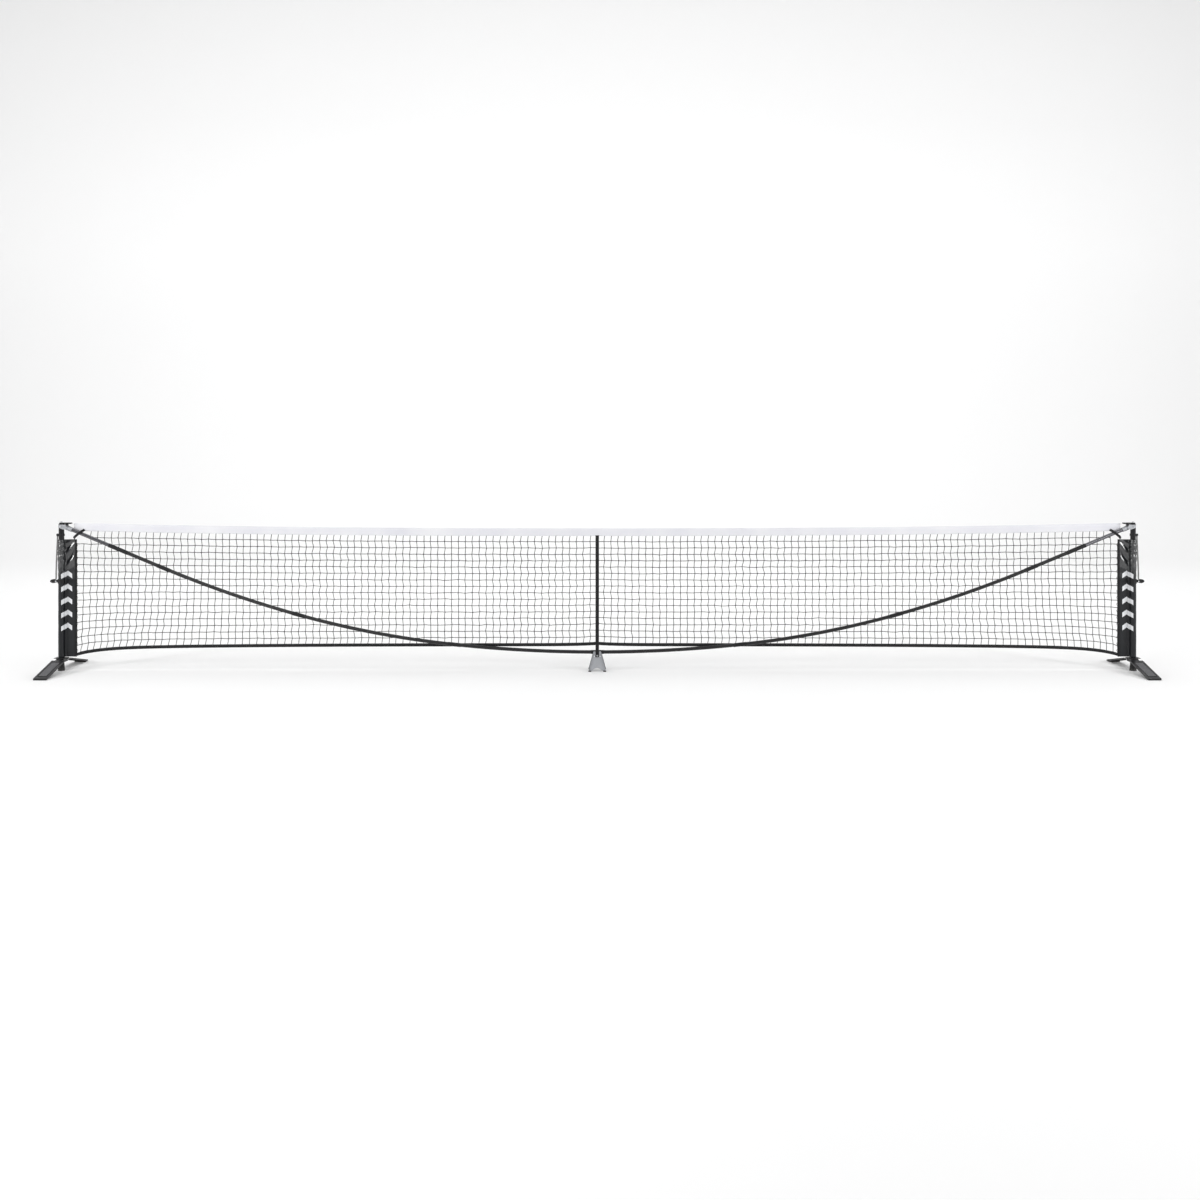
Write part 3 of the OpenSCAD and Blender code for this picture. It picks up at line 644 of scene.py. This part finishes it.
TAPE_SEAMS = (10 * MM, 43 * MM)         # the two rows of stitches, below the fold
tape_xs = np.linspace(-TAPE_END, TAPE_END, 1000)
tape_half = (tape_high.y - tape_low.y) / 2
tape = folded_band("tape_fold", tape_xs, tape_top, folded_section(TAPE_DEPTH, tape_half, 1.1 * MM),
                   1, (white_tape,), 1.0)
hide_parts("top_tape")
tape_stitches = [
    sew_band(f"tape_stitches_{i}", tape_xs, tape_top, offset, tape_half, 1, white_thread, 1.0)
    for i, offset in enumerate(TAPE_SEAMS)]
top_cord = twisted_cord("top_cord", (0.7, 0.7, 0.68), 3.5 * MM)
give(top_cord, "tape_cord")


# ---- The bottom hem -----------------------------------------------------------------
# Black polyester webbing folded round the net's last row, sewn with one row of thread.
# It droops at the posts and is lifted where the centre strap holds it.
black_webbing = woven("black_webbing", (0.006, 0.006, 0.007), 0.7, 1.3 * MM, 0.0003, 0.04)
shader_of(black_webbing).inputs["Specular IOR Level"].default_value = 0.3
black_thread = twisted_cord("black_thread", (0.05, 0.05, 0.053), 0.5 * MM)


def hem_bottom(x):
    return hem_middle(x) - HEM_DEPTH / 2


HEM_SEAM = 13 * MM
hem_xs = np.linspace(-NET_END, NET_END, 900)
hem = folded_band("hem_fold", hem_xs, hem_bottom, folded_section(HEM_DEPTH, tape_half, 1.1 * MM),
                  -1, (black_webbing,), 2.0)
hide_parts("hem")
hem_stitches = sew_band("hem_stitches", hem_xs, hem_bottom, HEM_SEAM, tape_half, -1, black_thread,
                        2.0)


# ---- The sleeves round the posts ----------------------------------------------------
# Coated black polyester, wrapped round the post and sewn to itself as a flat flange that
# the net is laced to. The corner strap pulls the upper part into slanting folds, and there
# the cloth shines most.
SLEEVE_REACH = POST_X - sleeve_low.x
SLEEVE_LOW, SLEEVE_TOP = sleeve_low.z, sleeve_high.z
FLANGE_Y = net_y
POCKET_R = 18.1 * MM            # the cloth's own radius round the post
LEVER_Z = 562 * MM              # the lever's clamp presses the cloth flat here
TIGHT_FROM, TIGHT_ABOVE = 560 * MM, 660 * MM    # where the strap's pull begins and is full
SEAM_X = -27 * MM               # the seam beside the post, from the post's middle

sleeve_cloth = woven("sleeve_cloth", (0.007, 0.008, 0.010), 0.34, 0.6 * MM, 0.00004, 0.02)
shader_of(sleeve_cloth).inputs["Specular IOR Level"].default_value = 0.25
shader_of(sleeve_cloth).inputs["Coat Roughness"].default_value = 0.15
shader_of(sleeve_cloth).inputs["Coat IOR"].default_value = 1.7
split = add(sleeve_cloth, "SeparateXYZ", Vector=place_in(sleeve_cloth))
pulled_tight = add(sleeve_cloth, "MapRange", Value=split.outputs["Z"])
pulled_tight.inputs["From Min"].default_value = TIGHT_FROM
pulled_tight.inputs["From Max"].default_value = TIGHT_ABOVE
pulled_tight.inputs["To Min"].default_value = 0.12
pulled_tight.inputs["To Max"].default_value = 1.0
join(sleeve_cloth, pulled_tight.outputs["Result"], "Coat Weight")
from_middle = calc(sleeve_cloth, "ABSOLUTE",
                   calc(sleeve_cloth, "SUBTRACT",
                        calc(sleeve_cloth, "ABSOLUTE", split.outputs["X"]), POST_X - 33 * MM))
BAR_PITCH, BAR_THICK, BAR_HALF, BAR_SLANT = 82 * MM, 30 * MM, 27 * MM, 0.7
BARS_LOW, BARS_TOP = 268 * MM, 668 * MM
rise = calc(sleeve_cloth, "ADD", split.outputs["Z"],
            calc(sleeve_cloth, "MULTIPLY", from_middle, BAR_SLANT))
step = calc(sleeve_cloth, "MODULO", calc(sleeve_cloth, "SUBTRACT", rise, BARS_LOW), BAR_PITCH)
in_bar = calc(sleeve_cloth, "LESS_THAN", step, BAR_THICK)
for limit in (calc(sleeve_cloth, "LESS_THAN", from_middle, BAR_HALF),
              calc(sleeve_cloth, "GREATER_THAN", rise, BARS_LOW),
              calc(sleeve_cloth, "LESS_THAN", rise, BARS_TOP)):
    in_bar = calc(sleeve_cloth, "MULTIPLY", in_bar, limit)
mix_colors(sleeve_cloth, in_bar, (0.007, 0.008, 0.010), (0.7, 0.71, 0.73))


def sleeve_path():
    """Plan of the cloth from the front of the flange, round the post, to its back."""
    flange = [(-x, FLANGE_Y - 0.7 * MM) for x in np.linspace(SLEEVE_REACH, 24 * MM, 22)]
    wrap = [(POCKET_R * math.cos(t), POCKET_R * math.sin(t))
            for t in np.radians(np.linspace(145, 450, 46))]
    bend = [(-19.5 * MM, 15.5 * MM)]
    back = [(-x, FLANGE_Y + 0.8 * MM) for x in np.linspace(8 * MM, SLEEVE_REACH, 26)]
    return np.array(flange + bend + wrap + back)


def fold_height(x, z):
    """How far the cloth stands out of its plane: slanting folds near the top, flat below."""
    run = x + SLEEVE_REACH + 14 * MM
    drop = SLEEVE_TOP + 20 * MM - z
    angle = np.arctan2(drop, run)
    far = np.hypot(run, drop)
    ridge = 1 - np.abs(np.sin(angle * 7.5 + 6 * far)) * 1.6
    fan = ridge * np.clip(far / 0.05, 0, 1) * np.exp(-((far - 0.13) / 0.12) ** 2)
    from_lever = np.sin(np.arctan2(z - LEVER_Z, 30 * MM - x) * 9)
    near_lever = np.exp(-((z - LEVER_Z - 0.05) / 0.06) ** 2)
    crease = 1 - 1.5 * np.abs(np.sin((z * 0.8 + x) * 31 + 1.3 * np.sin(z * 26)))
    upper = np.clip((z - 0.60) / 0.08, 0, 1)
    lower = 0.25 * np.sin(x * 75 + 4 * np.sin(z * 9)) + 0.2 * np.sin(z * 23 + x * 20)
    return (7 * MM * fan * upper + 1.8 * MM * from_lever * near_lever
            + 3.4 * MM * crease * upper + 1.6 * MM * lower * (1 - 0.5 * upper))


def flange_ease(x):
    """0 under the binding, where the cloth is held flat, rising to 1 where it is free."""
    return 1.0 - np.exp(-np.clip(x + SLEEVE_REACH - 9 * MM, 0, None) / (10 * MM))


def make_sleeve(side):
    plan = sleeve_path()
    normal = np.gradient(plan, axis=0)[:, ::-1] * (1, -1)
    normal /= np.linalg.norm(normal, axis=1)[:, None]
    around_post = np.hypot(plan[:, 0], plan[:, 1]) < POCKET_R + MM
    zs = np.linspace(SLEEVE_LOW, SLEEVE_TOP, 150)
    clamped = np.clip(np.abs(zs - LEVER_Z) / (22 * MM) - 0.7, 0, 1)
    points = []
    for z, loose in zip(zs, clamped):
        height = fold_height(plan[:, 0], z)
        edge = flange_ease(plan[:, 0])
        out_of_flange = np.stack([np.zeros(len(plan)), height * edge], axis=1)
        out_of_post = normal * (np.abs(height) * 0.9 * loose)[:, None]
        share = np.where(around_post, 1.0, 0.0)[:, None]
        place = plan + out_of_flange * (1 - share) + out_of_post * share
        flip = -1 if side == "left" else 1
        points.append(np.stack([flip * (POST_X + place[:, 0]), place[:, 1],
                                np.full(len(plan), z)], axis=1))
    count = len(plan)
    faces = []
    for row in range(len(zs) - 1):
        low, up = row * count, (row + 1) * count
        for i in range(count - 1):
            quad = (low + i, low + i + 1, up + i + 1, up + i)
            faces.append(quad if side == "right" else quad[::-1])
    piece = new_piece(f"{side}_sleeve_cloth", np.concatenate(points), faces, sleeve_cloth)
    thick = piece.modifiers.new("cloth", "SOLIDIFY")
    thick.thickness = 0.7 * MM
    thick.offset = 0
    bpy.context.view_layer.objects.active = piece
    bpy.ops.object.modifier_apply(modifier="cloth")
    wide = np.linalg.norm(np.diff(plan, axis=0), axis=1).sum()
    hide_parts(f"{side}_sleeve")
    return piece, wide


def seam_stitches(side):
    """Stitches down the seam beside the post, and across the sleeve's two hems."""
    flip = -1 if side == "left" else 1
    front = FLANGE_Y - 1.1 * MM
    places, along, out = [], [], []
    for z in np.arange(SLEEVE_LOW + 9 * MM, SLEEVE_TOP - 9 * MM, STITCH_PITCH):
        lift = float(fold_height(np.array([SEAM_X]), z)[0] * flange_ease(SEAM_X))
        places.append((flip * (POST_X + SEAM_X), front + lift, z))
        along.append((0, 0, 1))
        out.append((0, -1, 0))
    for z in (SLEEVE_LOW + 8 * MM, SLEEVE_TOP - 8 * MM):
        for x in np.arange(-SLEEVE_REACH + 16 * MM, -30 * MM, STITCH_PITCH):
            lift = float(fold_height(np.array([x]), z)[0] * flange_ease(x))
            places.append((flip * (POST_X + x), front + lift, z))
            along.append((1, 0, 0))
            out.append((0, -1, 0))
    return sew(f"{side}_seam_stitches", places, along, out, black_thread)


def side_binding(side):
    """Webbing folded over the flange's edge."""
    flip = -1 if side == "left" else 1
    section = folded_section(13 * MM, 2.6 * MM, 1.0 * MM)
    zs = np.linspace(SLEEVE_LOW, SLEEVE_TOP, 120)
    edge_x = POST_X - SLEEVE_REACH - 1.2 * MM
    points = []
    for z in zs:
        across = section[:, 0] + 0.3 * MM * np.sin(z * 240) * (section[:, 1] < -4 * MM)
        points.append(np.stack([flip * (edge_x - section[:, 1]), net_y + across,
                                np.full(len(section), z)], axis=1))
    faces = tube_faces(len(zs), len(section))
    if side == "left":
        faces = [f[::-1] for f in faces]
    piece = new_piece(f"{side}_sleeve_binding", np.concatenate(points), faces, black_webbing)
    return piece


def side_lacing(side):
    """The cord that laces the net's edge to the sleeve, one turn to each square."""
    flip = -1 if side == "left" else 1
    t = np.linspace(0, 1, ROWS * 14)
    z = SLEEVE_LOW + 20 * MM + t * (SLEEVE_TOP - SLEEVE_LOW - 32 * MM)
    wind = t * ROWS * 2 * math.pi
    x = flip * (NET_END + 1.0 * MM + 6.5 * MM * np.cos(wind))
    y = net_y + 4.6 * MM * np.sin(wind)
    path = np.stack([x, y, z], axis=1)
    piece = new_piece(f"{side}_side_lacing", tube_rings(path, 1.1 * MM, 6),
                      tube_faces(len(path), 6), net_cord)
    return piece


for sleeve_side in ("left", "right"):
    cloth, cloth_width = make_sleeve(sleeve_side)
    side_binding(sleeve_side)
    side_lacing(sleeve_side)
    seam_stitches(sleeve_side)


# ---- The straps ---------------------------------------------------------------------
# Flat polyester webbing. The centre strap holds the net's middle down to the stand, the
# corner straps tie the sleeves up round the bow, and the tension straps run to the levers.
def smooth_path(points, count):
    """A soft curve through given points, evenly spaced."""
    points = np.array(points, float)
    for _ in range(3):
        cut = [points[0]]
        for a, b in zip(points[:-1], points[1:]):
            cut += [a * 0.8 + b * 0.2, a * 0.2 + b * 0.8]
        points = np.array(cut + [points[-1]])
    steps = np.concatenate([[0], np.cumsum(np.linalg.norm(np.diff(points, axis=0), axis=1))])
    even = np.linspace(0, steps[-1], count)
    return np.stack([np.interp(even, steps, points[:, k]) for k in range(3)], axis=1)


def webbing_section(width, thickness):
    """Flat webbing with its two edges slightly rounded, as (across, out)."""
    half, t = width / 2, thickness / 2
    return np.array([(-half, -t * 0.3), (-half + t, -t), (-half * 0.5, -t), (0, -t),
                     (half * 0.5, -t), (half - t, -t), (half, -t * 0.3), (half, t * 0.3),
                     (half - t, t), (half * 0.5, t), (0, t), (-half * 0.5, t),
                     (-half + t, t), (-half, t * 0.3)])


def lay_webbing(name, path, width, thickness, across, material, slot_name, *replaced):
    path = np.asarray(path, float)
    tangent = np.gradient(path, axis=0)
    tangent /= np.linalg.norm(tangent, axis=1)[:, None]
    across = np.asarray(across, float)
    across = across - tangent * (tangent @ across)[:, None]
    across /= np.linalg.norm(across, axis=1)[:, None]
    out = np.cross(tangent, across)
    section = webbing_section(width, thickness)
    points = (path[:, None, :] + section[None, :, 0, None] * across[:, None, :]
              + section[None, :, 1, None] * out[:, None, :]).reshape(-1, 3)
    piece = new_piece(name, points, tube_faces(len(path), len(section)), material)
    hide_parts(*replaced)
    return piece


strap_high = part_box("centre_strap")[1]
front = strap_high.y - 1.0 * MM
lay_webbing("centre_strap_webbing",
            smooth_path([(0, front, strap_high.z), (0, front, 0.5), (0, front - 0.5 * MM, 0.2),
                         (0, front - MM, 0.151), (0, -13.6 * MM, 0.1293), (0, -17 * MM, 0.123),
                         (0, -23.5 * MM, 0.088)], 220),
            22 * MM, 1.8 * MM, (1, 0, 0), black_webbing, "black_webbing", "centre_strap")

grey_webbing = woven("grey_webbing", (0.16, 0.16, 0.16), 0.7, 1.2 * MM, 0.0003, 0.2)

def corner_webbing(side, flip):
    """Webbing looped over the bow, from the top of the sleeve's flange."""
    low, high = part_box(f"{side}_corner_strap")
    inner_x, outer_x = (high.x, low.x) if flip < 0 else (low.x, high.x)
    rise_way = Vector((inner_x - outer_x, 0, high.z - low.z)).normalized()
    start = Vector((outer_x, 0, low.z)) + Vector((-flip * 5 * MM, 0, 6 * MM))
    cross_way = Vector((-rise_way.z * flip, 0, rise_way.x * flip))

    def along(distance, depth):
        return tuple(start + rise_way * distance + Vector((0, depth, 0)))

    lay_webbing(f"{side}_corner_webbing",
                smooth_path([along(0.5 * MM, 14.8 * MM), along(3 * MM, 11 * MM),
                             along(20 * MM, -13.6 * MM), along(45 * MM, -14 * MM),
                             along(70 * MM, -13.6 * MM), along(86 * MM, 8 * MM),
                             along(89 * MM, 12 * MM)], 60),
                16 * MM, 1.8 * MM, cross_way, black_webbing, "black_webbing",
                f"{side}_corner_strap")


def tension_webbing(side, flip):
    """A narrow strap from the guide near the top of the post down to the lever."""
    low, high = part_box(f"{side}_tension_strap")
    inner = min(abs(low.x), abs(high.x))
    outer = max(abs(low.x), abs(high.x))
    top_x, low_x = inner + 4.5 * MM, outer - 4.5 * MM
    lay_webbing(f"{side}_tension_webbing",
                smooth_path([(flip * top_x, 0, high.z), (flip * (top_x + 3 * MM), 0, high.z - 0.06),
                             (flip * (low_x - 1 * MM), 0, low.z + 0.07), (flip * low_x, 0, low.z)], 60),
                9 * MM, 2.6 * MM, (1, 0, 0), grey_webbing, "grey_webbing",
                f"{side}_tension_strap")


for strap_side, strap_flip in (("left", -1), ("right", 1)):
    corner_webbing(strap_side, strap_flip)
    tension_webbing(strap_side, strap_flip)
